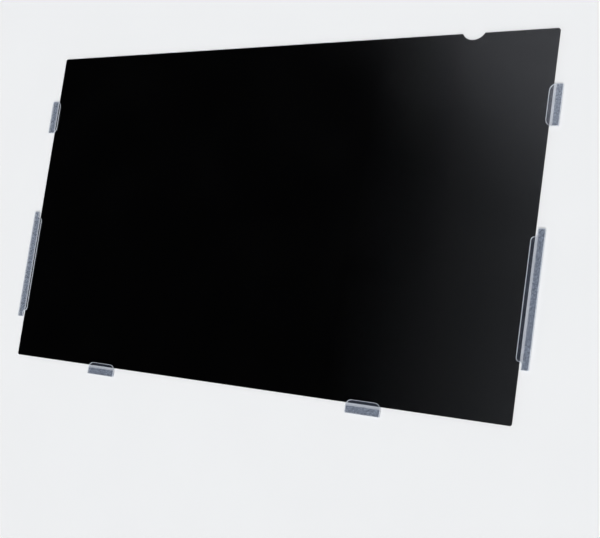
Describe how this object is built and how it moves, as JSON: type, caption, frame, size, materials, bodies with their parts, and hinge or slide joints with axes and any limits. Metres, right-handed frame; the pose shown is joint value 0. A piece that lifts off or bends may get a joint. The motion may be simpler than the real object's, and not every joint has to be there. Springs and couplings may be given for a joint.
{
  "type": "monitor privacy filter",
  "caption": "Thin dark rectangular privacy sheet for a widescreen monitor, with a finger notch in its top edge and clear stick-on tabs along its sides and bottom.",
  "frame": {"origin": "middle of the sheet's back face, the one that lies against the screen", "axes": "+X to the viewer's right along the sheet's width, +Y up the screen towards the notched edge, +Z out of the sheet towards the viewer"},
  "size_m": [0.5474, 0.3072, 0.0017],
  "materials": {
    "louvred_sheet": "satin, nearly black from the side",
    "clear_tab": "clear, glossy, with bright cut edges",
    "clear_adhesive": "clear, speckled with small air bubbles"
  },
  "bodies": {
    "root": {"filter_sheet": "louvred_sheet", "left_upper_tab": "clear_tab", "left_lower_tab": "clear_tab", "right_upper_tab": "clear_tab", "right_lower_tab": "clear_tab", "bottom_left_tab": "clear_tab", "bottom_right_tab": "clear_tab", "left_upper_adhesive": "clear_adhesive", "left_lower_adhesive": "clear_adhesive", "right_upper_adhesive": "clear_adhesive", "right_lower_adhesive": "clear_adhesive", "bottom_left_adhesive": "clear_adhesive", "bottom_right_adhesive": "clear_adhesive"}
  },
  "joints": []
}
